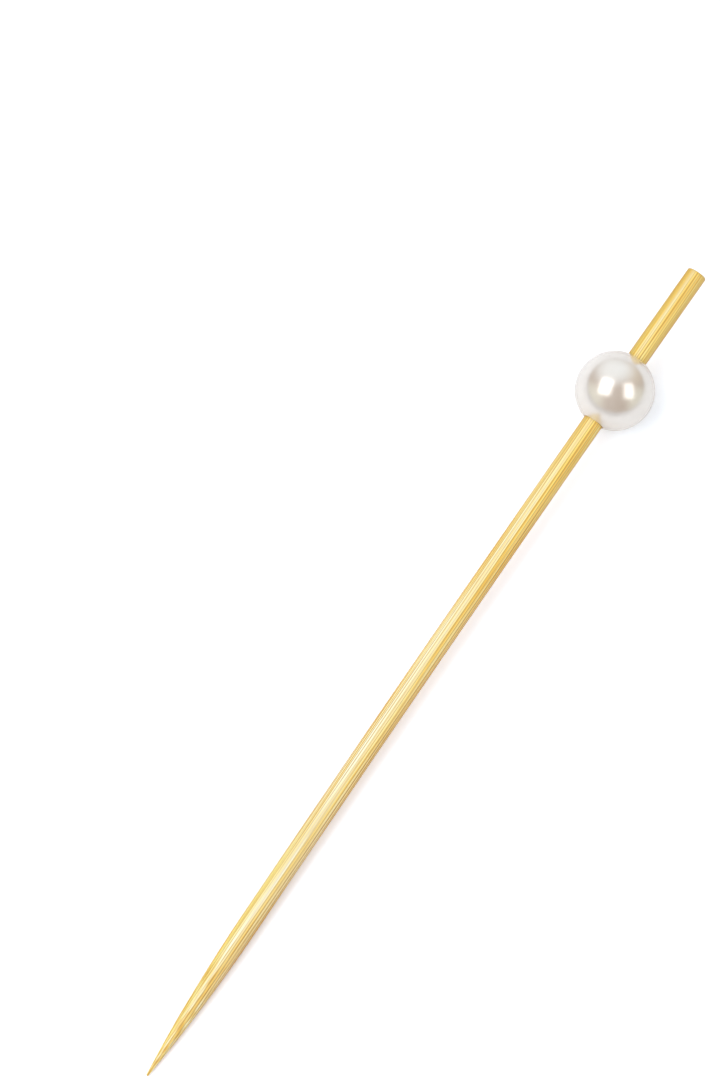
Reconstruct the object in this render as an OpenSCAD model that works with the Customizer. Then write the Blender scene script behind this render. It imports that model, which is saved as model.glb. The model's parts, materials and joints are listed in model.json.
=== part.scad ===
// Bamboo cocktail pick with a pearl bead.
// A round bamboo stick is ground to a long point at one end and cut square at the other.
// An imitation pearl is threaded on near the cut end, and glue in its bore holds it there.
// The pick is shown lying on a table, where it rests on the bead and on the belly of the point.

/* [Stick] */
// Length of the stick, from the point to the cut end
stick_length = 120; // [90:1:160]
// Diameter of the round shank
stick_d = 2.6; // [2:0.1:4]
// Length that is ground down to make the point
point_length = 22; // [14:1:34]
// Diameter left at the very end of the point
point_end_d = 0.3; // [0.2:0.05:0.8]
// Width of the bevel round the cut end
cut_bevel = 0.12; // [0.05:0.01:0.3]

/* [Bead] */
// Diameter of the pearl bead
bead_d = 10; // [8:0.5:14]
// Distance from the cut end of the stick to the middle of the bead
bead_from_end = 18; // [14:0.5:24]
// Width of the bevel where the bore meets the outside of the bead
mouth_bevel = 0.2; // [0.1:0.05:0.4]

/* [Glue] */
// Thickness of the glue between the stick and the bore of the bead
glue_film = 0.1; // [0.05:0.01:0.25]
// How far the glue stays below the mouths of the bore
glue_recess = 0.06; // [0:0.01:0.09]

/* [Hidden] */

bamboo = "#EBCB82";
pearl = "#EFE9E1";
clear_glue = "#F2EBD6";

stick_r = stick_d / 2;
point_end_r = point_end_d / 2;
bead_r = bead_d / 2;
bore_r = stick_r + glue_film;
mouth_r = bore_r + mouth_bevel;

// Distance of the bead's middle from the point, along the stick
bead_at = stick_length - bead_from_end;
// Distance of each mouth of the bore from the middle of the bead
mouth_at = sqrt(pow(bead_r, 2) - pow(mouth_r, 2));

// The side of the point is one arc, tangent to the shank, that narrows to point_end_r
point_narrowing = stick_r - point_end_r;
point_arc_r = (pow(point_length, 2) + pow(point_narrowing, 2)) / (2 * point_narrowing);

// Slope of the stick on the table: the table is the line that touches both the bead's circle
// and the arc of the point, whose centres lie lie_run apart along the stick and lie_rise across it
lie_run = bead_at - point_length;
lie_rise = point_arc_r - stick_r;
lie_slope = atan2(lie_run, -lie_rise) - acos((bead_r - point_arc_r) / norm([lie_run, lie_rise]));

// How far the tool that cuts the bore runs out past the bead
cut = 0.5;
$fn = 96;
arc_fn = 720;

// Puts what is built along +Z, with its point at the origin, down on the table:
// point towards -X, middle of the length over the origin
module lie_on_table()
    translate([-stick_length * cos(lie_slope) / 2, 0, bead_r - bead_at * sin(lie_slope)])
        rotate([0, 90 - lie_slope, 0])
            children();

// Moves to the middle of the bead, along the stick
module at_bead()
    translate([0, 0, bead_at])
        children();

// Half section of the stick
module stick_outline() {
    intersection() {
        square([stick_r, point_length]);
        translate([stick_r - point_arc_r, point_length])
            circle(r = point_arc_r, $fn = arc_fn);
    }
    translate([0, point_length])
        square([stick_r, stick_length - cut_bevel - point_length]);
    polygon([
        [0, stick_length - cut_bevel],
        [stick_r, stick_length - cut_bevel],
        [stick_r - cut_bevel, stick_length],
        [0, stick_length]
    ]);
}

// Half section of the bore with the bevel at both its mouths, from inner_r outwards.
// With a positive reach it runs on past the mouths, and with a negative one it stops below them.
module bore_outline(inner_r, reach) {
    end_r = mouth_r + reach;
    end_at = mouth_at + reach;
    bevel_at = mouth_at - mouth_bevel;
    polygon([
        [inner_r, -end_at],
        [end_r, -end_at],
        [bore_r, -bevel_at],
        [bore_r, bevel_at],
        [end_r, end_at],
        [inner_r, end_at]
    ]);
}

module bamboo_stick()
    color(bamboo)
        lie_on_table()
            rotate_extrude()
                stick_outline();

module pearl_bead()
    color(pearl)
        lie_on_table()
            at_bead()
                difference() {
                    sphere(r = bead_r);
                    rotate_extrude()
                        bore_outline(0, cut);
                }

module bead_glue()
    color(clear_glue)
        lie_on_table()
            at_bead()
                rotate_extrude()
                    bore_outline(stick_r, -glue_recess);

bamboo_stick();
pearl_bead();
bead_glue();
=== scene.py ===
# %% [markdown]
# # A bamboo cocktail pick
#
# The pick is a round bamboo stick, ground to a long point, with a glossy imitation pearl glued on
# near its cut end. The solid model already fixes every size and every place. This lesson sets up the
# camera, the table and the light of a small product shot, and then gives each solid a finish made of
# shader nodes and a finer mesh in the same place. The cells run from the top down.

# %% Load the solid model
import json
import math

import bpy
import numpy as np
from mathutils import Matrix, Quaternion, Vector, noise


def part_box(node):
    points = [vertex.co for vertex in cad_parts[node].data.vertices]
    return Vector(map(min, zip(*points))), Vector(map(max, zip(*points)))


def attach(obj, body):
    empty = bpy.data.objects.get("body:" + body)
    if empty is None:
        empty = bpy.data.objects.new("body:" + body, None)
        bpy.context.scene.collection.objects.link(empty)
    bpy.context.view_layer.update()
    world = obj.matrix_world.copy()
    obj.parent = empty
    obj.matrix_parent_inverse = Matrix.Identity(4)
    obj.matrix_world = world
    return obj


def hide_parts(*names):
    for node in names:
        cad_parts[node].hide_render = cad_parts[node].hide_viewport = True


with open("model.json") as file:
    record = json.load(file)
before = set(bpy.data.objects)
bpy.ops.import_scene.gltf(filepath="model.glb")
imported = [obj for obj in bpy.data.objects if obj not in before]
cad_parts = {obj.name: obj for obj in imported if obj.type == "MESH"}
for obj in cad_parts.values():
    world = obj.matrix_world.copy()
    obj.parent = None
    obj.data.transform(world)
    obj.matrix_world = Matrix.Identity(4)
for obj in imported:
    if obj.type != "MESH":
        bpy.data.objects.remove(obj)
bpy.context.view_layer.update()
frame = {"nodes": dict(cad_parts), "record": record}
MM = 0.001
print("solids:", ", ".join(frame["nodes"]))

# %% [markdown]
# ## Where the stick and the bead are
#
# The record that comes with the solids lists the places where the pick meets other things. The one
# on the cut end gives the middle of that face and the direction of the stick, and the one on the
# shank gives its radius. The bead's middle and radius come from the box around its solid. Only the
# sizes that no box shows, such as the length of the point, are written down again here.

# %% Read the sizes
mounts = {mount["name"]: mount for mount in frame["record"]["mounts"]}
cut_middle = Vector(mounts["cut_end"]["pos_m"])
along = Vector(mounts["cut_end"]["axis"]).normalized()
STICK_R = mounts["shank"]["dims"]["r_mm"] * MM
STICK_LENGTH = 120 * MM
POINT_LENGTH = 22 * MM
POINT_END_R = 0.15 * MM
CUT_BEVEL = 0.12 * MM
GLUE_FILM = 0.1 * MM

bead_low, bead_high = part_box("pearl_bead")
bead_middle = (Vector(bead_low) + Vector(bead_high)) / 2
BEAD_R = (bead_high[2] - bead_low[2]) / 2
BORE_R = STICK_R + GLUE_FILM

point = cut_middle - along * STICK_LENGTH
BEAD_AT = (bead_middle - point).dot(along)
SLOPE = math.asin(along.z)
print(f"stick radius {STICK_R / MM:.2f} mm, bead radius {BEAD_R / MM:.2f} mm,"
      f" bead {BEAD_AT / MM:.1f} mm from the point, slope {math.degrees(SLOPE):.2f} degrees")

# %% [markdown]
# ## The camera
#
# The picture is taken from almost straight above, with the camera leaning back a little towards the
# point. A long 200 mm lens from about three quarters of a metre keeps the stick's sides parallel and
# the bead in true proportion to its length. The camera could be placed by hand, but a few named values
# are easier to change: the spot it aims at, how far it is, how much it leans from the vertical, and
# which way on the table is up in the picture. The frame is 720 by 1080, so the sensor's 36 mm lie
# along its height.

# %% Set up the camera
LENS = 200
SENSOR = 36
NEAREST = 10 * MM
AIM = Vector((8.89, 15.56, 4.0)) * MM
CAMERA_DISTANCE = 737.6 * MM
LEAN = math.radians(12)
PICTURE_UP = math.radians(34.2)

up_on_table = Vector((math.cos(PICTURE_UP), math.sin(PICTURE_UP), 0))
looking = up_on_table * math.sin(LEAN) - Vector((0, 0, 1)) * math.cos(LEAN)
camera = bpy.data.objects.new("camera", bpy.data.cameras.new("camera"))
bpy.context.collection.objects.link(camera)
camera.data.lens = LENS
camera.data.sensor_width = SENSOR
camera.data.clip_start = NEAREST
camera.location = AIM - looking * CAMERA_DISTANCE
camera.rotation_euler = looking.to_track_quat("-Z", "Y").to_euler()
bpy.context.scene.camera = camera
bpy.context.scene.view_settings.view_transform = "Standard"
print("camera at", [round(v / MM) for v in camera.location], "mm")

# %% [markdown]
# ## A helper for shader nodes, and one for colours
#
# Every finish below is a small graph of nodes. One function adds a node, sets its options, and fills
# its inputs: a value is written into the socket, and another node's output is linked to it. A colour
# ramp gets its tones in the same call. Colours are written as the hex values that a paint program
# shows. Blender's shaders count in linear light, so one function converts them.

# %% Define the helpers
def linear(hex_colour):
    """The linear RGBA of an sRGB hex colour."""
    channels = [int(hex_colour[i:i + 2], 16) / 255 for i in (1, 3, 5)]
    return [c / 12.92 if c <= 0.04045 else ((c + 0.055) / 1.055) ** 2.4 for c in channels] + [1]


def add_node(tree, kind, inputs=None, tones=(), **options):
    """Adds a node of this kind, sets its options, writes or links its inputs, and fills its ramp."""
    node = tree.nodes.new("ShaderNode" + kind)
    for name, value in options.items():
        setattr(node, name, value)
    for socket, value in (inputs or {}).items():
        if isinstance(value, bpy.types.NodeSocket):
            tree.links.new(value, node.inputs[socket])
        else:
            node.inputs[socket].default_value = value
    if tones:
        stops = node.color_ramp.elements
        for position, colour in tones:
            stops.new(position).color = linear(colour)
        # A new ramp comes with a black stop and a white one at its ends
        stops.remove(stops[0])
        stops.remove(stops[-1])
    return node


def new_material(name):
    """An empty node material and its tree."""
    material = bpy.data.materials.new(name)
    material.use_nodes = True
    material.node_tree.nodes.clear()
    return material, material.node_tree


print("mid grey is", [round(c, 3) for c in linear("#808080")])

# %% [markdown]
# ## White paper
#
# A product shot like this is made on a wide sheet of white paper, which is matt and throws light back
# evenly. The photo of a white sheet is overexposed: the open paper goes to clean white, and only the
# darkest part of each shadow is left, close to the pick. More light would do that too, but it would
# bleach the pick. So the camera alone sees the paper two fifths brighter, and slightly cool, against
# the warm light that the pick throws on it. To every other ray it is plain white paper.

# %% Make the paper
OVEREXPOSED = 1.4

paper, tree = new_material("matt_white_paper")
rays = add_node(tree, "LightPath").outputs
to_camera = [OVEREXPOSED * c for c in linear("#F8FCFF")]
white = add_node(tree, "Mix", {"Factor": rays["Is Camera Ray"], "A": linear("#FCFBF9"), "B": to_camera},
                 data_type="RGBA")
matt = add_node(tree, "BsdfDiffuse", {"Color": white.outputs["Result"]})
add_node(tree, "OutputMaterial", {"Surface": matt.outputs[0]})
print("paper nodes:", len(tree.nodes))

# %% [markdown]
# ## The table
#
# The sheet lies flat under the pick and curls up at its edge. A plane with one bent side would do for
# one camera. Here the sheet is round, so that it works from every side: flat, then an arc of a circle.
# It curls up most in front and hardly at all at the back right, because the pearl shows how high it
# reaches on each side.

# %% Build the table
FLAT_R = 1.0
CURL_R = 0.3
CURL_TURN = math.radians(48)
CURL_SWING = math.radians(42)
CURL_MOST = PICTURE_UP - math.radians(205)
TABLE_SIDES = 96
CURL_STEPS = 12

corners = [(0, 0, 0)]
for step in range(CURL_STEPS + 1):
    for angle in np.arange(TABLE_SIDES) * 2 * math.pi / TABLE_SIDES:
        turn = (CURL_TURN + CURL_SWING * math.cos(angle - CURL_MOST)) * step / CURL_STEPS
        reach = FLAT_R + CURL_R * math.sin(turn)
        rise = CURL_R * (1 - math.cos(turn))
        corners.append((reach * math.cos(angle), reach * math.sin(angle), rise))
faces = []
for side in range(TABLE_SIDES):
    after = (side + 1) % TABLE_SIDES
    faces.append((0, 1 + side, 1 + after))
    for ring in range(CURL_STEPS):
        near = 1 + ring * TABLE_SIDES
        far = near + TABLE_SIDES
        faces.append((near + side, far + side, far + after, near + after))
table_mesh = bpy.data.meshes.new("paper_table")
table_mesh.from_pydata(corners, [], faces)
table_mesh.polygons.foreach_set("use_smooth", [True] * len(faces))
table_mesh.materials.append(paper)
table = bpy.data.objects.new("paper_table", table_mesh)
bpy.context.collection.objects.link(table)
rim = [height for x, y, height in corners[-TABLE_SIDES:]]
print(f"table rim from {min(rim):.3f} to {max(rim):.3f} m high")

# %% [markdown]
# ## The soft boxes
#
# A shiny bead shows its whole surroundings, so the lamps can be read off it: a large soft box on the
# left of the picture and another on the right. Each box is set by the direction it has from the bead,
# as a bearing from the picture's up and a height above the table, by its size and roll, and by its
# brightness as an eye would see it. An area lamp's power is that brightness times its area times pi.
# The cloth of a soft box dims towards its edges, so each lamp gets a small graph that fades them.

# %% Hang the soft boxes
LAMP_DISTANCE = 0.45
SOFT_EDGE = 0.10
# Of each box: bearing and height in degrees, width and length in metres, roll, brightness
SOFT_BOXES = {
    "left_soft_box": (-89.5, 61.7, 0.465, 0.39, -22, 2.31),
    "right_soft_box": (106.9, 50.0, 0.43, 0.33, 22, 1.87),
}


def direction_of(bearing, height):
    """Unit vector from a bearing, clockwise from the picture's up, and a height, both in degrees."""
    angle = PICTURE_UP - math.radians(bearing)
    rise = math.radians(height)
    return Vector((math.cos(rise) * math.cos(angle), math.cos(rise) * math.sin(angle), math.sin(rise)))


for name, (bearing, height, width, length, roll, brightness) in SOFT_BOXES.items():
    direction = direction_of(bearing, height)
    lamp = bpy.data.lights.new(name, "AREA")
    lamp.shape = "RECTANGLE"
    lamp.size = width
    lamp.size_y = length
    lamp.energy = brightness * width * length * math.pi
    lamp.color = linear("#F8FCFF")[:3]
    lamp.use_nodes = True
    tree = lamp.node_tree
    tree.nodes.clear()
    on_cloth = add_node(tree, "NewGeometry").outputs["Parametric"]
    across = add_node(tree, "SeparateXYZ", {0: on_cloth}).outputs
    strength = 1.0
    for share, size in ((across[0], width), (across[1], length)):
        off_middle = add_node(tree, "Math", {0: share, 1: 0.5}, operation="SUBTRACT").outputs[0]
        off_middle = add_node(tree, "Math", {0: off_middle}, operation="ABSOLUTE").outputs[0]
        strength = add_node(tree, "MapRange", {"Value": off_middle, "From Min": 0.5,
                                               "From Max": 0.5 - SOFT_EDGE / size, "To Max": strength},
                            interpolation_type="SMOOTHSTEP").outputs[0]
    cloth = add_node(tree, "Emission", {"Strength": strength})
    add_node(tree, "OutputLight", {"Surface": cloth.outputs[0]})
    box = bpy.data.objects.new(name, lamp)
    box.location = bead_middle + direction * LAMP_DISTANCE
    facing = (-direction).to_track_quat("-Z", "Y") @ Quaternion((0, 0, 1), math.radians(roll))
    box.rotation_euler = facing.to_euler()
    box.visible_camera = False
    bpy.context.collection.objects.link(box)
print("lamps:", [lamp.name for lamp in bpy.data.lights])

# %% [markdown]
# ## The room
#
# Around the boxes is a room. It could be built of walls, but a world that asks which way a ray goes
# does the same with no geometry. As light it is a neutral grey, so that colours stay true, and
# brighter on the left, so that round things keep their shape. In reflections it is warm and dusky,
# with a pale wall on the far side, a dim one to its right and two low ones left and right. That gives
# the pearl its darker heart and its pale brow. To the camera alone the room is white.
# Lamps and room together light a white card on the table to just about white.

# %% Paint the room
ROOM_STRENGTH = 1.1
# Of each wall: bearing and height of its middle in degrees, the cosine at its edge, colour
WALLS = (
    (47, 22, 0.80, "#C8B28C"),
    (-2, 37, 0.50, "#F7FDFF"),
    (-108, 12, 0.72, "#D6D2BA"),
    (115, 12, 0.75, "#D6D2BA"),
)
BRIGHT_SIDE = direction_of(-90, 45)
BRIGHT_EDGE = -0.6

world = bpy.data.worlds.new("studio_room")
world.use_nodes = True
tree = world.node_tree
tree.nodes.clear()
towards = add_node(tree, "TexCoord").outputs["Generated"]
rays = add_node(tree, "LightPath").outputs
mirrored = linear("#9A7B52")
for bearing, height, edge, colour in WALLS:
    facing = add_node(tree, "VectorMath", {0: towards, 1: direction_of(bearing, height)},
                      operation="DOT_PRODUCT")
    share = add_node(tree, "MapRange", {"Value": facing.outputs["Value"], "From Min": edge},
                     interpolation_type="SMOOTHSTEP")
    mirrored = add_node(tree, "Mix", {"Factor": share.outputs[0], "A": mirrored, "B": linear(colour)},
                        data_type="RGBA").outputs["Result"]
facing = add_node(tree, "VectorMath", {0: towards, 1: BRIGHT_SIDE}, operation="DOT_PRODUCT")
share = add_node(tree, "MapRange", {"Value": facing.outputs["Value"], "From Min": BRIGHT_EDGE})
lighting = add_node(tree, "Mix", {"Factor": share.outputs[0], "A": linear("#464648"),
                                  "B": linear("#EDEEF3")}, data_type="RGBA").outputs["Result"]
room_colour = add_node(tree, "Mix", {"Factor": rays["Is Glossy Ray"], "A": lighting, "B": mirrored},
                       data_type="RGBA").outputs["Result"]
room = add_node(tree, "Background", {"Color": room_colour, "Strength": ROOM_STRENGTH})
white = add_node(tree, "Background", {"Color": linear("#FFFFFF"), "Strength": 1.0})
seen = add_node(tree, "MixShader", {0: rays["Is Camera Ray"], 1: room.outputs[0], 2: white.outputs[0]})
add_node(tree, "OutputWorld", {"Surface": seen.outputs[0]})
bpy.context.scene.world = world
print("room nodes:", len(tree.nodes))

# %% [markdown]
# ## Bamboo
#
# Bamboo is a bundle of stiff fibres in a pale, soft filling. A skewer is split from the wall of the
# stem, drawn through round dies and tumbled smooth. So its side shows fine streaks of straw and gold,
# thin brown grooves where bundles meet, and short dashes where the die opened one of the tubes that
# carried water. Its cut end shows the bundles as dots. A picture could be wrapped round the stick,
# but it would show a seam. Here each pattern fills space and is stretched along the stick, and every
# surface shows what it cuts through. Real fibres are about a hundredth of a millimetre wide, and
# the render shows little under a tenth, so all of these are drawn as coarse as they need to show.

# %% Stretch the patterns along the stick
# Of each pattern: its length along the stick and its width across it
GRAIN = {
    "fibres": (14 * MM, 0.12 * MM),  # ten times too wide, to show at all
    "patches": (45 * MM, 0.9 * MM),
    "sway": (60 * MM, 3 * MM),
    "fading": (25 * MM, 0.4 * MM),
    "tubes": (5 * MM, 0.30 * MM),
    "bundles": (150 * MM, 0.26 * MM),
    "grinding": (0.16 * MM, 2 * MM),  # the scratches of a fine wheel are closer, and wouldn't show
}

bamboo, tree = new_material("drawn_and_tumbled_bamboo")
# The coordinates are turned down by the stick's slope, so that x runs along it
upright = add_node(tree, "TexCoord").outputs["Object"]
place = add_node(tree, "VectorRotate", {"Vector": upright, "Angle": SLOPE},
                 rotation_type="Y_AXIS").outputs[0]
place_x, place_y, place_z = add_node(tree, "SeparateXYZ", {0: place}).outputs
grain = {}
for name, (length, width) in GRAIN.items():
    scale = (1 / length, 1 / width, 1 / width)
    grain[name] = add_node(tree, "VectorMath", {0: place, 1: scale}, operation="MULTIPLY").outputs[0]
print("patterns:", ", ".join(grain))

# %% [markdown]
# ### Streaks and spots
#
# Noise gives what has no clear edge: the streaks of the fibres, the paler patches, and the slow sway
# and fading of the grooves. Voronoi cells have a middle and a distance from it, so they give what is
# a spot with an edge: the dashes of the opened tubes, and the bundles on the cut end.

# %% Draw the streaks and the spots
# Layers of ever finer noise in each pattern, and the distances where a spot starts and where it is full
NOISE_LAYERS = {"fibres": 0, "patches": 1, "sway": 1, "fading": 1, "grinding": 2}
SPOT_EDGES = {"tubes": (0.26, 0.10), "bundles": (0.42, 0.25)}

for name, layers in NOISE_LAYERS.items():
    grain[name] = add_node(tree, "TexNoise", {"Vector": grain[name], "Scale": 1.0,
                                              "Detail": layers}).outputs[0]
for name, (edge, core) in SPOT_EDGES.items():
    cells = add_node(tree, "TexVoronoi", {"Vector": grain[name], "Scale": 1.0})
    grain[name] = add_node(tree, "MapRange", {"Value": cells.outputs["Distance"], "From Min": edge,
                                              "From Max": core},
                           interpolation_type="SMOOTHSTEP").outputs[0]
print("noises:", len(NOISE_LAYERS), "and spots:", len(SPOT_EDGES))

# %% [markdown]
# ### Grooves
#
# The grooves lie side by side round the stick and run straight along it. They could be carved into the
# mesh, but that would take thousands of sides. A one-dimensional pattern draws them by their distance
# round the stick from its top, so each keeps to its line and runs out where the point gets thin, as cut
# fibres do. Some grooves are deep and some shallow, each fades here and there, and they are faintest
# along the pale band on the upper left, where a painted sheen washes them out.

# %% Draw the grooves
GROOVE_SPACING = 0.32 * MM  # real bundles are closer, and would blur together
GROOVE_SWAY = 0.12 * MM
GROOVE_UNEVEN = 0.3
GROOVE_EDGE = 0.21
GROOVE_CORE = 0.07
PALE_MIDDLE = 0.2

angle = add_node(tree, "Math", {0: place_y, 1: place_z}, operation="ARCTAN2").outputs[0]
across = add_node(tree, "VectorMath", {0: place, 1: (0, 1, 1)}, operation="MULTIPLY").outputs[0]
radius = add_node(tree, "VectorMath", {0: across}, operation="LENGTH").outputs["Value"]
around = add_node(tree, "Math", {0: angle, 1: radius}, operation="MULTIPLY").outputs[0]
around = add_node(tree, "Math", {0: grain["sway"], 1: GROOVE_SWAY, 2: around},
                  operation="MULTIPLY_ADD").outputs[0]
around = add_node(tree, "Math", {0: around, 1: GROOVE_SPACING}, operation="DIVIDE").outputs[0]
cells = add_node(tree, "TexVoronoi", {"W": around, "Scale": 1.0, "Randomness": GROOVE_UNEVEN},
                 voronoi_dimensions="1D").outputs
groove = add_node(tree, "MapRange", {"Value": cells["Distance"], "From Min": GROOVE_EDGE,
                                     "From Max": GROOVE_CORE},
                  interpolation_type="SMOOTHSTEP").outputs[0]
groove_kind = add_node(tree, "SeparateColor", {0: cells["Color"]}).outputs[0]

# From -1 on the right flank to 1 on the left one, looking from the point to the bead
side = add_node(tree, "Math", {0: place_y, 1: radius}, operation="DIVIDE").outputs[0]
off_pale = add_node(tree, "Math", {0: side, 1: PALE_MIDDLE}, operation="SUBTRACT").outputs[0]
off_pale = add_node(tree, "Math", {0: off_pale}, operation="ABSOLUTE").outputs[0]
# Along the pale band the grooves fade, as painted sheen that washes them out
groove_most = 1.0
# What a groove fades by, where it is faintest, where it is full, and the least that is left of it
for value, start, end, least in ((off_pale, 0.1, 0.75, 0.5), (grain["fading"], 0.35, 0.55, 0.65),
                                 (groove_kind, 0.0, 1.0, 0.75)):
    left = add_node(tree, "MapRange", {"Value": value, "From Min": start, "From Max": end,
                                       "To Min": least}).outputs[0]
    groove_most = add_node(tree, "Math", {0: groove_most, 1: left}, operation="MULTIPLY").outputs[0]
print(f"about {2 * math.pi * STICK_R / GROOVE_SPACING:.0f} grooves round the stick")

# %% [markdown]
# ### Gold
#
# The fibres run from gold to almost white, so a colour ramp spreads three tones over their noise.
# Under the skin of the stem the filling is a deeper yellow, and the stick cuts into it towards the
# handle and a little at the point. A tint that sets in along the stick gives that: it multiplies the
# colour, so white would leave it alone.

# %% Colour the fibres
# A noise keeps near one half, so tones at these values catch most of it
LOW, HALF, HIGH = 0.35, 0.50, 0.65
# Of each change along the stick: the distances from the point where it starts and where it is complete
STRETCHES = {
    "handle": (20 * MM, 92 * MM),
    "point": (POINT_LENGTH + 10 * MM, 9 * MM),
    "shoulder": (40 * MM, 30 * MM),
    "near_bead": (88 * MM, 106 * MM),
    "before_bead": (106 * MM, 88 * MM),
    "ground": (POINT_LENGTH + 1 * MM, POINT_LENGTH - 3 * MM),
    "cut": (STICK_LENGTH - 0.10 * MM, STICK_LENGTH - 0.02 * MM),
}
POINT_GOLD = 0.4

stretch = {}
for name, (start, end) in STRETCHES.items():
    stretch[name] = add_node(tree, "MapRange", {"Value": place_x, "From Min": start,
                                                "From Max": end}).outputs[0]
point_gold = add_node(tree, "Math", {0: stretch["point"], 1: POINT_GOLD},
                      operation="MULTIPLY").outputs[0]
deep_gold = add_node(tree, "Math", {0: stretch["handle"], 1: point_gold},
                     operation="MAXIMUM").outputs[0]
fibre_gold = add_node(tree, "ValToRGB", {0: grain["fibres"]},
                      tones=((LOW, "#EFCB70"), (HALF, "#FEE79F"), (HIGH, "#FFF8D4")))
golden = add_node(tree, "Mix", {"Factor": deep_gold, "A": fibre_gold.outputs[0], "B": linear("#FFF1B2")},
                  data_type="RGBA", blend_type="MULTIPLY").outputs["Result"]
print("stretches:", ", ".join(stretch))

# %% [markdown]
# ### The pale band: straw and painted sheen
#
# One side of the stick lay nearer the hollow of the stem, where there are few fibres, and is the colour
# of straw. The band is also a painted sheen: the highlight of the left soft box falls along the upper
# left side, and part of it is painted here as paler colour. It shows as a band that wanders along the
# upper left side, moves up and gets narrower near the bead, and is weaker at both ends. A second ramp
# gives its tones. Its two edges, and how much of it is left along the stick, are multiplied into one
# share.

# %% Lay the pale band
BAND_WANDER = 1.0 * MM
# Of each edge: where it starts, where it is complete, and how far it moves up near the bead
BAND_EDGES = ((0.37 * MM, 0.70 * MM, 0.28 * MM), (1.50 * MM, 1.10 * MM, 0.47 * MM))

to_ends = add_node(tree, "Math", {0: stretch["handle"], 1: stretch["point"]},
                   operation="MAXIMUM").outputs[0]
wander = add_node(tree, "Math", {0: grain["patches"], 1: BAND_WANDER, 2: place_y},
                  operation="MULTIPLY_ADD").outputs[0]
straw_and_sheen_share = 1.0
for start, end, shift in BAND_EDGES:
    moved = add_node(tree, "Math", {0: stretch["near_bead"], 1: shift, 2: wander},
                     operation="MULTIPLY_ADD").outputs[0]
    straw_and_sheen_share = add_node(tree, "MapRange", {"Value": moved, "From Min": start, "From Max": end,
                                             "To Max": straw_and_sheen_share},
                          interpolation_type="SMOOTHSTEP").outputs[0]
# What the band weakens by, from where on, and its shares before and after
for value, start, before, later in ((to_ends, 0.3, 0.92, 0.4), (stretch["point"], 0.0, 1.0, 0.4)):
    left = add_node(tree, "MapRange", {"Value": value, "From Min": start, "To Min": before,
                                       "To Max": later}).outputs[0]
    straw_and_sheen_share = add_node(tree, "Math", {0: straw_and_sheen_share, 1: left}, operation="MULTIPLY").outputs[0]
# Partly straw, partly painted sheen: paler tones where the left soft box's highlight falls on the stick
fibre_straw_and_sheen = add_node(tree, "ValToRGB", {0: grain["fibres"]},
                       tones=((LOW, "#F3DF9E"), (HALF, "#FBEDBB"), (HIGH, "#FFF8DC")))
body = add_node(tree, "Mix", {"Factor": straw_and_sheen_share, "A": golden, "B": fibre_straw_and_sheen.outputs[0]},
                data_type="RGBA").outputs["Result"]
print("bamboo nodes so far:", len(tree.nodes))

# %% [markdown]
# ### Stains and painted shade
#
# No side of a real stick is quite the colour of the next. Each tint below multiplies the colour, and
# sets in with the height or the side of the stick, or in a groove or an opened tube. Some are stains,
# and some are painted shade: the darker flanks and underside, and the darker, warmer right side away
# from the left soft box. One loop over a table lays them all. The stripe beside the pale band ends on
# two sides and at the bead, so the most that it may reach is itself a share.

# %% Lay the stains and the painted shade
upward = add_node(tree, "Math", {0: place_z, 1: radius}, operation="DIVIDE").outputs[0]
# How much painted shade the right side gets: full along the middle, fading to none near both ends
right_shade_most = add_node(tree, "MapRange", {"Value": to_ends, "From Min": 0.75, "To Min": 1.0,
                                         "To Max": 0.0}).outputs[0]
stripe_most = add_node(tree, "MapRange", {"Value": side, "From Min": -0.52, "From Max": -0.3,
                                          "To Max": stretch["before_bead"]}).outputs[0]
stripe = add_node(tree, "Mix", {"Factor": stretch["point"], "A": linear("#FFFADA"),
                                "B": linear("#F6E2A8")}, data_type="RGBA").outputs["Result"]
# What each one sets in by, where it starts, where it is full, the most of it, and its tint
stains_and_shade = (
    # Painted shade: both flanks and the underside darker, where less light reaches them
    (upward, 0.55, 0.0, 1.0, linear("#ECCC84")),  # both flanks and the underside
    # Painted shade: the right side, away from the left soft box, darker and warmer
    (side, 0.1, -0.8, right_shade_most, linear("#FAEEDC")),  # the right side, warm except at the ends
    (side, 0.12, -0.05, stripe_most, stripe),  # the golden stripe on the top
    (side, 0.35, 0.75, stretch["shoulder"], linear("#FFFBBC")),  # the left side near the point
    (side, 0.2, 0.65, stretch["near_bead"], linear("#EDE4B2")),  # the left side near the bead
    (groove, 0.0, 1.0, groove_most, linear("#986425")),  # dirt and shade in the grooves
    (grain["tubes"], 0.0, 1.0, 0.2, linear("#C9A448")),  # the dashes of the opened tubes
)

for value, start, end, most, tint in stains_and_shade:
    share = add_node(tree, "MapRange", {"Value": value, "From Min": start, "From Max": end,
                                        "To Max": most}).outputs[0]
    body = add_node(tree, "Mix", {"Factor": share, "A": body, "B": tint}, data_type="RGBA",
                    blend_type="MULTIPLY").outputs["Result"]
print("stains:", len(stains_and_shade))

# %% [markdown]
# ### The cut end
#
# The saw leaves the bundles as brown dots in a darker ground, because light sinks into the open
# fibres. The face could have a material of its own, but the bundles run through the whole stick
# anyway, so the same material shows them in its last tenth of a millimetre.

# %% Colour the cut end
dotted = add_node(tree, "Mix", {"Factor": grain["bundles"], "A": linear("#D9B56C"),
                                "B": linear("#9A6F33")}, data_type="RGBA").outputs["Result"]
bamboo_colour = add_node(tree, "Mix", {"Factor": stretch["cut"], "A": body, "B": dotted},
                         data_type="RGBA").outputs["Result"]
print("bamboo nodes so far:", len(tree.nodes))

# %% [markdown]
# ### Relief and shine
#
# Tumbling leaves bamboo with a satin shine: a roughness near one half, a little smoother on the hard
# fibres. The eye sees the fibres as fine ridges, the grooves and dashes as dents, and faint rings
# on the point from the grinding wheel. All are far too shallow for the mesh, so bump nodes tilt the
# light instead. The refractive index is that of cellulose.

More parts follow.
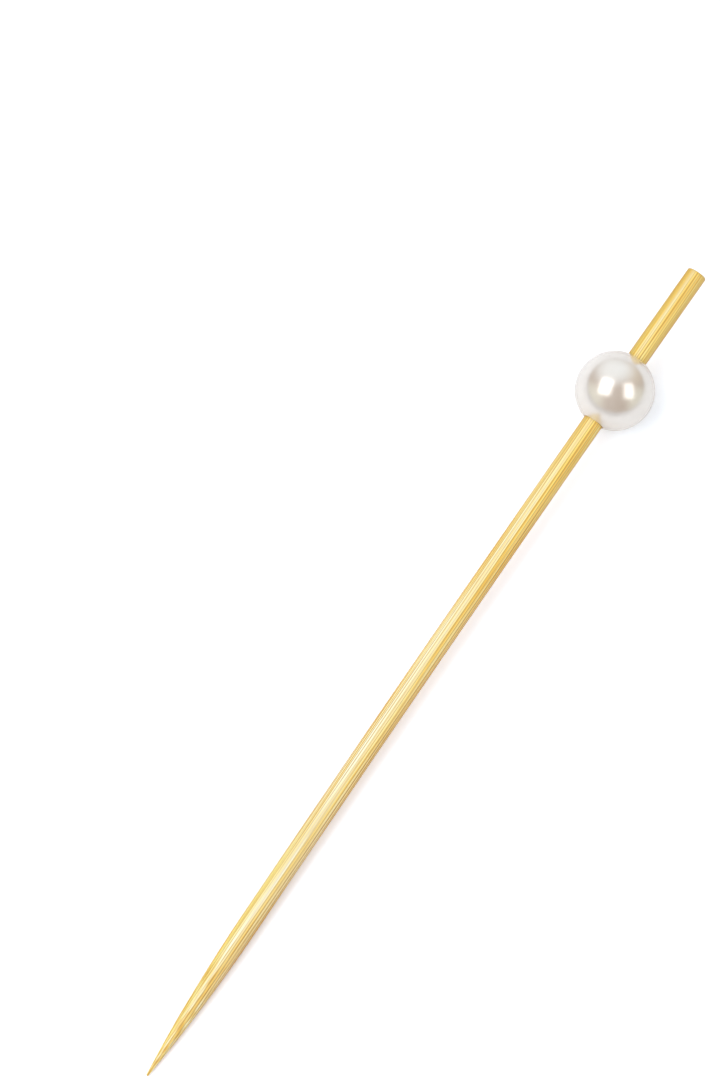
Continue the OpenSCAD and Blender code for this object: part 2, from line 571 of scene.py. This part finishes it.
# %% Finish the bamboo
FIBRE_DEPTH = 0.010 * MM
GRIND_DEPTH = 0.003 * MM
GROOVE_SINK = -0.6
TUBE_SINK = -0.5
BAMBOO_ROUGH = (0.50, 0.40)
BAMBOO_IOR = 1.54
BAMBOO_SHINE = 0.6
# These values hold nearly all of a noise
LOWEST, HIGHEST = 0.3, 0.7

relief = grain["fibres"]
for dent, sink in ((groove, GROOVE_SINK), (grain["tubes"], TUBE_SINK)):
    relief = add_node(tree, "Math", {0: dent, 1: sink, 2: relief}, operation="MULTIPLY_ADD").outputs[0]
grind_rings = add_node(tree, "Math", {0: grain["grinding"], 1: stretch["ground"]},
                       operation="MULTIPLY").outputs[0]
fibre_bump = add_node(tree, "Bump", {"Strength": 1.0, "Distance": FIBRE_DEPTH, "Height": relief})
grind_bump = add_node(tree, "Bump", {"Strength": 1.0, "Distance": GRIND_DEPTH, "Height": grind_rings,
                                     "Normal": fibre_bump.outputs[0]})
satin = add_node(tree, "MapRange", {"Value": grain["fibres"], "From Min": LOWEST, "From Max": HIGHEST,
                                    "To Min": BAMBOO_ROUGH[0], "To Max": BAMBOO_ROUGH[1]})
surface = add_node(tree, "BsdfPrincipled", {"Base Color": bamboo_colour, "Roughness": satin.outputs[0],
                                            "IOR": BAMBOO_IOR, "Specular IOR Level": BAMBOO_SHINE,
                                            "Normal": grind_bump.outputs[0]})
add_node(tree, "OutputMaterial", {"Surface": surface.outputs[0]})
print("bamboo nodes:", len(tree.nodes))

# %% [markdown]
# ## A helper that skins rings
#
# All three pieces are round about the stick, so each can be built as a row of rings of vertices with
# faces between neighbours, as a lathe would leave it. A modifier could spin a profile too, but rings
# can be made uneven before they are skinned, and the map for textures is laid out at the same time.
# The rings are made along x and then tilted by the stick's slope. A row that doesn't close on itself
# gets a small flat cap at each end, so that every piece is a closed body with its faces outwards.

# %% Define the helper
CAP_SPOT_R = 0.008
tilt = np.array([[math.cos(SLOPE), 0, -math.sin(SLOPE)],
                 [0, 1, 0],
                 [math.sin(SLOPE), 0, math.cos(SLOPE)]])


def skin(name, rings, spots, material, origin, cap_spots=()):
    """A piece made of rings of vertices in order. spots holds, for each band of faces between two
    rings, its place on the texture map: (start, end, low, high). With cap_spots, the places of two
    small discs on that map, a flat cap closes each end. Without, the last ring joins the first."""
    count, sides = len(rings), len(rings[0])
    faces = []
    corners = []
    for band in range(count - 1 if cap_spots else count):
        here = band * sides
        there = (band + 1) % count * sides
        start, end, low, high = spots[band]
        for side in range(sides):
            after = (side + 1) % sides
            v0 = low + (high - low) * side / sides
            v1 = low + (high - low) * (side + 1) / sides
            faces.append((here + side, here + after, there + after, there + side))
            corners += [(start, v0), (start, v1), (end, v1), (end, v0)]
    for (u, v), first, step in zip(cap_spots, (sides - 1, (count - 1) * sides), (-1, 1)):
        faces.append([first + step * side for side in range(sides)])
        for turn in np.arange(sides) * 2 * math.pi / sides:
            corners.append((u + CAP_SPOT_R * math.cos(turn), v + CAP_SPOT_R * math.sin(turn)))
    mesh = bpy.data.meshes.new(name)
    mesh.from_pydata((np.concatenate(rings) @ tilt.T).tolist(), [], faces)
    texture_map = mesh.uv_layers.new(name="OFBake")
    texture_map.uv.foreach_set("vector", np.array(corners, np.float32).ravel())
    mesh.polygons.foreach_set("use_smooth", [True] * len(faces))
    mesh.materials.append(material)
    piece = bpy.data.objects.new(name, mesh)
    piece.location = origin
    bpy.context.collection.objects.link(piece)
    return piece


print("rings are tilted by", round(math.degrees(SLOPE), 2), "degrees")

# %% [markdown]
# ## The stick's surface
#
# On the real stick the shank is nearly straight, but never quite: it bows by a few tenths of a
# millimetre, its section is a little out of round, and the die leaves furrows where a fibre tore out.
# The point is ground by hand against a wheel, so it has faint flats. A displace modifier could push
# the surface about, but it would push it outwards too. The functions below start from the true
# outline of the solid and only ever go inwards from it, so the stick keeps its size. The bow is
# nothing at the point and at the bead, where the stick has to stay in the bore.

# %% Define the stick's surface
BOW = 0.28 * MM
# Of each kind of wear: its length along the stick, its width round it, and its place in the noise
RIDGES = (30 * MM, 0.22 * MM, 0)
FURROWS = (26 * MM, 0.30 * MM, 40)
OVALS = (35 * MM, 1.6 * MM, 80)
RIDGE_DEPTH = 0.004 * MM
FURROW_DEPTH = 0.012 * MM
OVAL_DEPTH = 0.012 * MM
FURROW_START = 0.42
FURROW_RISE = 0.25
WEAR_MOST = 0.12
FLATS = 7
FLAT_DEPTH = 0.025
FLAT_FADE = 6 * MM
FLAT_TWIST = 0.6
FLAT_LENGTH = 9 * MM
FLAT_PLACE = (7.3, 2.1)

point_arc_r = (POINT_LENGTH ** 2 + (STICK_R - POINT_END_R) ** 2) / (2 * (STICK_R - POINT_END_R))


def outline(d):
    """Radius of the solid stick at this distance from the point."""
    if d < POINT_LENGTH:
        return STICK_R - point_arc_r + math.sqrt(point_arc_r ** 2 - (POINT_LENGTH - d) ** 2)
    return STICK_R - max(0, d - (STICK_LENGTH - CUT_BEVEL))


def bow(d):
    """How far the stick's middle strays sideways."""
    return BOW * 4 * d * (BEAD_AT - d) / BEAD_AT ** 2


def wear(d, angle, radius):
    """How far the surface lies inside the true outline: ridges, furrows, ovalness and flats."""
    y, z = radius * math.cos(angle), radius * math.sin(angle)
    ridge, torn, oval = [noise.noise(Vector((d / length + shift, y / width, z / width)))
                         for length, width, shift in (RIDGES, FURROWS, OVALS)]
    furrow = min(1, max(0, (torn - FURROW_START) / FURROW_RISE))
    on_point = min(1, max(0, (POINT_LENGTH - d) / FLAT_FADE))
    depth = (RIDGE_DEPTH * (0.5 + 0.5 * ridge) + OVAL_DEPTH * (0.5 + 0.5 * oval)
             + FURROW_DEPTH * furrow * (1 - on_point))
    twist = FLAT_TWIST * noise.noise(Vector((d / FLAT_LENGTH, *FLAT_PLACE)))
    flat = FLAT_DEPTH * radius * on_point * (0.5 + 0.5 * math.cos(FLATS * (angle + twist)))
    return min(depth, WEAR_MOST * radius) + flat


print(f"the point's outline is an arc of {point_arc_r / MM:.0f} mm radius")

# %% [markdown]
# ## The stick
#
# The rings lie closest at the point, where the outline curves most, and a few cross the face of the
# cut end to its middle. The texture map of a piece this long would be a thin ribbon, so it is cut
# into four strips that lie above each other. The two end caps get small discs in the free margin.

# %% Build the stick
SIDES = 160
# Distance from the point and radius of the two rings that round the very tip
TIP_RINGS = ((0.0, 0.02 * MM), (0.01 * MM, 0.09 * MM))
# Steps from ring to ring, in millimetres: near the tip, and along the rest of the point
TIP_LENGTH = 2.0
TIP_STEP = 0.12
POINT_STEP = 0.3
SHANK_RINGS = 240
BEVEL_STEPS = 3
FACE_SHARES = np.linspace(0.94, 0.02, 18)
STRIPS = 4
STRIP_MARGIN = 0.01
STRIP_WIDTH = 0.225
STRIP_ROOM = 1.05
CAP_SPOTS = ((0.975, 0.12), (0.975, 0.37))

angles = np.arange(SIDES) * 2 * math.pi / SIDES
stations = list(np.arange(TIP_STEP / 2, TIP_LENGTH, TIP_STEP) * MM)
stations += list(np.arange(TIP_LENGTH, POINT_LENGTH / MM, POINT_STEP) * MM)
stations += list(np.linspace(POINT_LENGTH, STICK_LENGTH - CUT_BEVEL, SHANK_RINGS))
stations += [STICK_LENGTH - CUT_BEVEL + CUT_BEVEL * step / BEVEL_STEPS
             for step in range(1, BEVEL_STEPS + 1)]
face_r = outline(STICK_LENGTH)
# Each ring's distance from the point, its radius, and its place along the surface
rows = [(d, radius, d) for d, radius in TIP_RINGS]
rows += [(d, outline(d), d) for d in stations]
rows += [(STICK_LENGTH, face_r * share, STICK_LENGTH + face_r * (1 - share)) for share in FACE_SHARES]

rings = []
for d, radius, _ in rows:
    ring = []
    for angle in angles:
        r = radius - wear(d, angle, radius)
        ring.append((d, bow(d) + r * math.cos(angle), r * math.sin(angle)))
    rings.append(np.array(ring))

spots = []
strip_length = STICK_LENGTH / STRIPS
for (*_, first), (*_, second) in zip(rows, rows[1:]):
    strip = min(STRIPS - 1, int(first / strip_length))
    start, end = [(reach - strip * strip_length) / (strip_length * STRIP_ROOM)
                  for reach in (first, second)]
    low = strip / STRIPS + STRIP_MARGIN
    spots.append((start, end, low, low + STRIP_WIDTH))
stick = skin("bamboo_stick_drawn", rings, spots, bamboo, point, CAP_SPOTS)
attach(stick, "root")
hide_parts("bamboo_stick")
print("stick:", len(stick.data.vertices), "vertices")

# %% [markdown]
# ## Pearl lacquer
#
# The bead is moulded in ABS and dipped several times in a lacquer full of tiny mica flakes, then in a
# clear one. The flakes lie flat and act like a dim, slightly frosted mirror just under a sharp glassy
# skin, over a creamy body. A glossy plastic alone would look like porcelain. So the shader is about
# half metal, with a roughness that softens the lamps, under a clear coat that shows them crisply. The
# colour drifts very slightly, as dipped lacquer does, and the skin has a faint orange peel.

# %% Make the pearl finish
DRIFT = 3.5 * MM
PEEL = 1.4 * MM
PEEL_DEPTH = 0.003 * MM
FROST = (0.235, 0.265)
FLAKE_METAL = 0.55
COAT_ROUGH = 0.10
COAT_IOR = 1.5

pearl, tree = new_material("pearl_lacquered_abs")
place = add_node(tree, "TexCoord").outputs["Object"]
drift = add_node(tree, "TexNoise", {"Vector": place, "Scale": 1 / DRIFT, "Detail": 2.0}).outputs[0]
cream = add_node(tree, "ValToRGB", {0: drift}, tones=((LOW, "#EBE5DE"), (HIGH, "#EFEAE4")))
peel = add_node(tree, "TexNoise", {"Vector": place, "Scale": 1 / PEEL, "Detail": 1.0}).outputs[0]
peel_bump = add_node(tree, "Bump", {"Strength": 1.0, "Distance": PEEL_DEPTH, "Height": peel})
frost = add_node(tree, "MapRange", {"Value": drift, "From Min": LOWEST, "From Max": HIGHEST,
                                    "To Min": FROST[0], "To Max": FROST[1]})
surface = add_node(tree, "BsdfPrincipled", {"Base Color": cream.outputs[0], "Metallic": FLAKE_METAL,
                                            "Roughness": frost.outputs[0], "Coat Weight": 1.0,
                                            "Coat Roughness": COAT_ROUGH, "Coat IOR": COAT_IOR,
                                            "Normal": peel_bump.outputs[0]})
add_node(tree, "OutputMaterial", {"Surface": surface.outputs[0]})
print("pearl nodes:", len(tree.nodes))

# %% [markdown]
# ## The bead
#
# A sphere primitive would have no hole, and cutting one with a boolean leaves ragged faces. The bead
# is turned from its half section instead: over the ball, round a small lip where the lacquer ran back
# from the edge, along the bore and round the other lip, as one closed row of rings.

# %% Build the bead
BEAD_SIDES = 192
BALL_RINGS = 121
LIP_RINGS = 14
BORE_RINGS = 12
LIP_R = 0.13 * MM
FACET_SAG = 0.006 * MM  # the solid's own facets cut its roundness that much

BALL_R = BEAD_R - FACET_SAG
lip_x = math.sqrt((BALL_R - LIP_R) ** 2 - (BORE_R + LIP_R) ** 2)
lip_turn = math.atan2(BORE_R + LIP_R, lip_x)
section = []
for turn in np.linspace(math.pi - lip_turn, lip_turn, BALL_RINGS):
    section.append((BALL_R * math.cos(turn), BALL_R * math.sin(turn)))
right_lip = []
for turn in np.linspace(lip_turn, -math.pi / 2, LIP_RINGS)[1:]:
    right_lip.append((lip_x + LIP_R * math.cos(turn), BORE_R + LIP_R + LIP_R * math.sin(turn)))
bore = [(x, BORE_R) for x in np.linspace(lip_x, -lip_x, BORE_RINGS)[1:-1]]
left_lip = [(-x, r) for x, r in reversed(right_lip)]
section += right_lip + bore + left_lip


def turned(name, section, sides, material):
    """A piece turned about the stick, from a closed half section of (x, radius) round the bead."""
    turns = np.arange(sides) * 2 * math.pi / sides
    rings = [np.stack([np.full(sides, x), r * np.cos(turns), r * np.sin(turns)], 1) for x, r in section]
    steps = [math.dist(a, b) for a, b in zip(section, section[1:] + section[:1])]
    reach = np.concatenate([[0], np.cumsum(steps)]) / sum(steps)
    spots = [(reach[i], reach[i + 1], 0.0, 1.0) for i in range(len(section))]
    return skin(name, rings, spots, material, bead_middle)


bead = turned("pearl_bead_lacquered", section, BEAD_SIDES, pearl)
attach(bead, "root")
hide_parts("pearl_bead")
print("bead:", len(bead.data.vertices), "vertices")

# %% [markdown]
# ## Set glue
#
# A smear of clear glue holds the bead, set hard and a little hazy. In so thin a gap clear glue takes the
# colour of the bamboo behind it, so it is an amber film with a smooth, slightly uneven shine. Real
# transparency would cost render time and show the same amber. Its tones are also painted darker, as
# painted shade in the narrow gap between stick and bore.

# %% Make the glue finish
HAZE = 0.4 * MM
SMEAR_DEPTH = 0.01 * MM
GLUE_ROUGH = 0.22
GLUE_IOR = 1.48

glue_finish, tree = new_material("set_glue_and_gap_shade")
place = add_node(tree, "TexCoord").outputs["Object"]
haze = add_node(tree, "TexNoise", {"Vector": place, "Scale": 1 / HAZE, "Detail": 2.0}).outputs[0]
# Amber of the glue, painted darker as shade in the narrow gap between stick and bore
amber = add_node(tree, "ValToRGB", {0: haze}, tones=((LOW, "#9C7636"), (HIGH, "#B8924E")))
smear = add_node(tree, "Bump", {"Strength": 1.0, "Distance": SMEAR_DEPTH, "Height": haze})
surface = add_node(tree, "BsdfPrincipled", {"Base Color": amber.outputs[0], "Roughness": GLUE_ROUGH,
                                            "IOR": GLUE_IOR, "Normal": smear.outputs[0]})
add_node(tree, "OutputMaterial", {"Surface": surface.outputs[0]})
print("glue nodes:", len(tree.nodes))

# %% [markdown]
# ## The glue
#
# The glue fills the gap between stick and bore. Only its edge can be seen, as a thin glossy ring sunk
# in each mouth. Wet glue climbs a little up both walls before it sets, so the ring is hollow. A plain
# tube would lose that, and a turned section keeps it. The tube reaches a hair into the stick, so that
# no gap shows where the stick is worn.

# %% Build the glue
GLUE_SIDES = 96
HOLLOW_RINGS = 7
WALL_RINGS = 6
HOLLOW = 0.05 * MM
OVERLAP = 0.03 * MM

inner_r = STICK_R - OVERLAP
hollow = []
for share_out in np.linspace(1, 0, HOLLOW_RINGS):
    dip = HOLLOW * 4 * share_out * (1 - share_out)
    hollow.append((lip_x - dip, inner_r + (BORE_R - inner_r) * share_out))
outer = [(x, BORE_R) for x in np.linspace(-lip_x, lip_x, WALL_RINGS)[1:-1]]
inner = [(x, inner_r) for x in np.linspace(lip_x, -lip_x, WALL_RINGS)[1:-1]]
far_hollow = [(-x, r) for x, r in reversed(hollow)]
glue = turned("bead_glue_smear", outer + hollow + inner + far_hollow, GLUE_SIDES, glue_finish)
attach(glue, "root")
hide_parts("bead_glue")
print("glue:", len(glue.data.vertices), "vertices")
